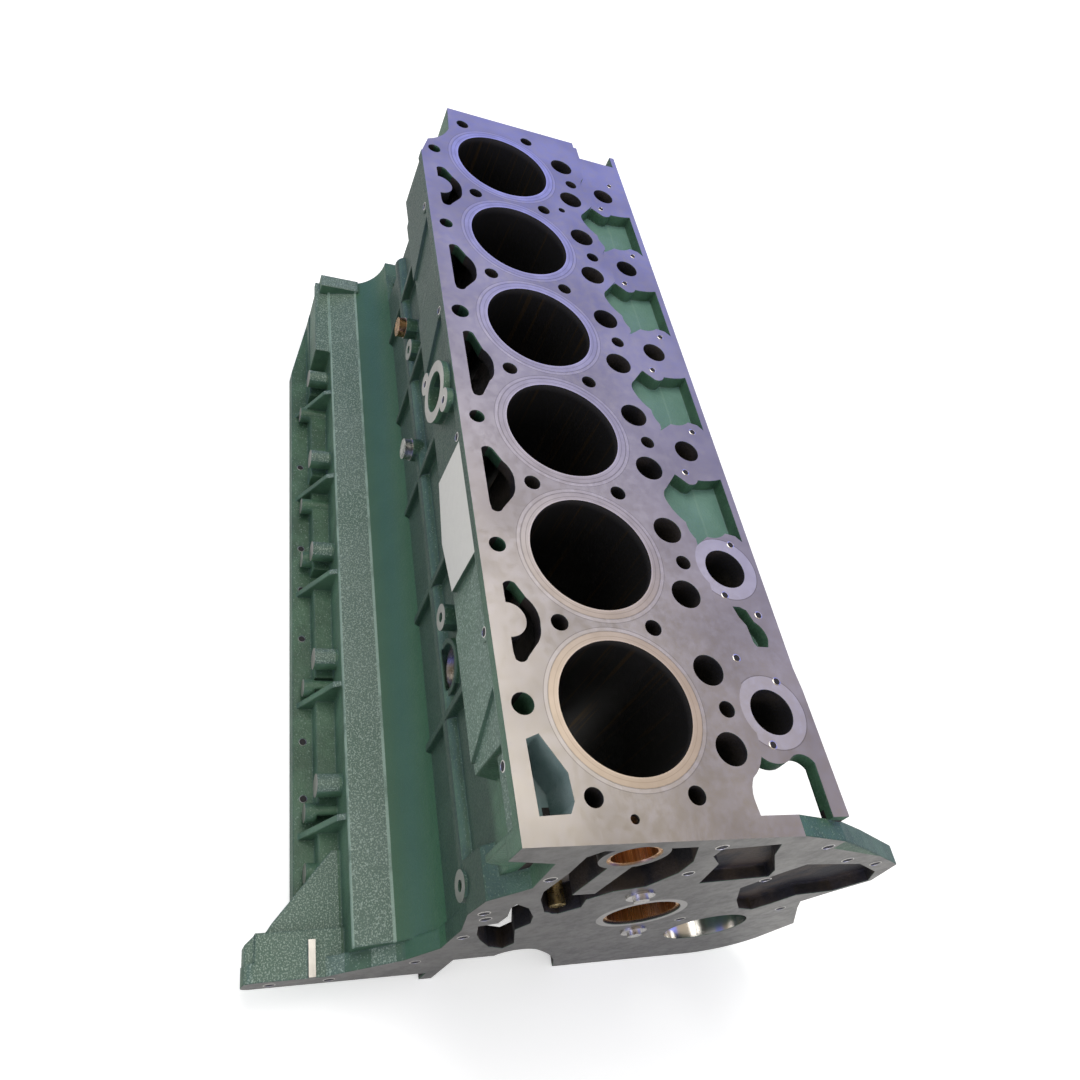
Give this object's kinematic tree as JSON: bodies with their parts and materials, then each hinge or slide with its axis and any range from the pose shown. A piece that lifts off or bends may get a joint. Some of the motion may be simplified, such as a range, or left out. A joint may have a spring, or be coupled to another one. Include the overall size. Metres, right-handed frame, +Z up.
{
  "type": "engine block",
  "caption": "Bare in-line engine block casting with pressed-in liners, ground deck, stepped crankcase side and a flanged gear end with bronze cam bush.",
  "frame": {"origin": "in the plane of the oil-pan rail, under the middle of the whole block", "axes": "+X along the crankshaft to the gear end, +Y across to the camshaft side, +Z up towards the deck"},
  "size_m": [0.8726, 0.5254, 0.37],
  "materials": {
    "green_iron": "rough green casting paint, bare ground iron on the machined faces",
    "liner_iron": "honed bore, machined rim",
    "steel": "plain turned steel",
    "bronze": "bored bearing bronze",
    "brass": "polished brass"
  },
  "bodies": {
    "root": {"block_casting": "green_iron", "cylinder_liner_1": "liner_iron", "cylinder_liner_2": "liner_iron", "cylinder_liner_3": "liner_iron", "cylinder_liner_4": "liner_iron", "cylinder_liner_5": "liner_iron", "cylinder_liner_6": "liner_iron", "camshaft_bush": "bronze", "top_bush": "bronze", "core_plug_1": "steel", "gallery_plug_1": "bronze", "gallery_plug_2": "steel", "cam_thrust_screws": "steel", "brass_jet": "brass"}
  },
  "joints": []
}
